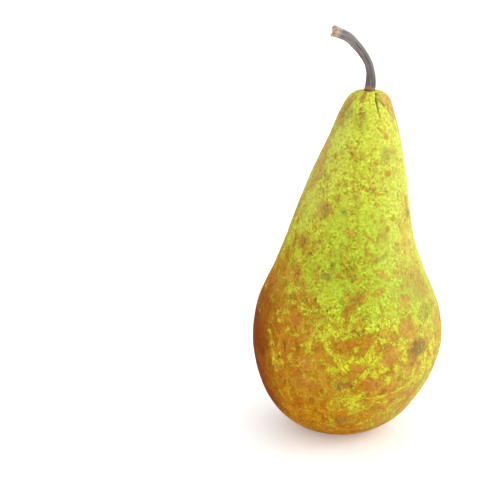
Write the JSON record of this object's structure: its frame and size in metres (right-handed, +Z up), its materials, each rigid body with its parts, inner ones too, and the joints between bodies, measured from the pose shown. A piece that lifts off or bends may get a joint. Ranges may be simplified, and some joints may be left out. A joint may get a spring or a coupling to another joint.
{
  "type": "pear",
  "caption": "Long-necked pear with russeted green skin and a curved woody stem, standing upright on a small flat spot round its calyx.",
  "frame": {"origin": "at the level the pear stands on, under the middle of its widest part", "axes": "+Z up through the fruit towards the stem, +X towards the side that the neck leans to, -Y towards the side seen from the front"},
  "size_m": [0.0648, 0.0628, 0.1384],
  "materials": {
    "skin": "waxy, half matt, netted with dry brown russet",
    "stem_bark": "dry ridged bark, matt",
    "dried_calyx": "dried, papery and matt"
  },
  "bodies": {
    "root": {"fruit": "skin", "stem": "stem_bark", "sepal_1": "dried_calyx", "sepal_2": "dried_calyx", "sepal_3": "dried_calyx", "sepal_4": "dried_calyx", "sepal_5": "dried_calyx", "dried_stamens": "dried_calyx"}
  },
  "joints": []
}
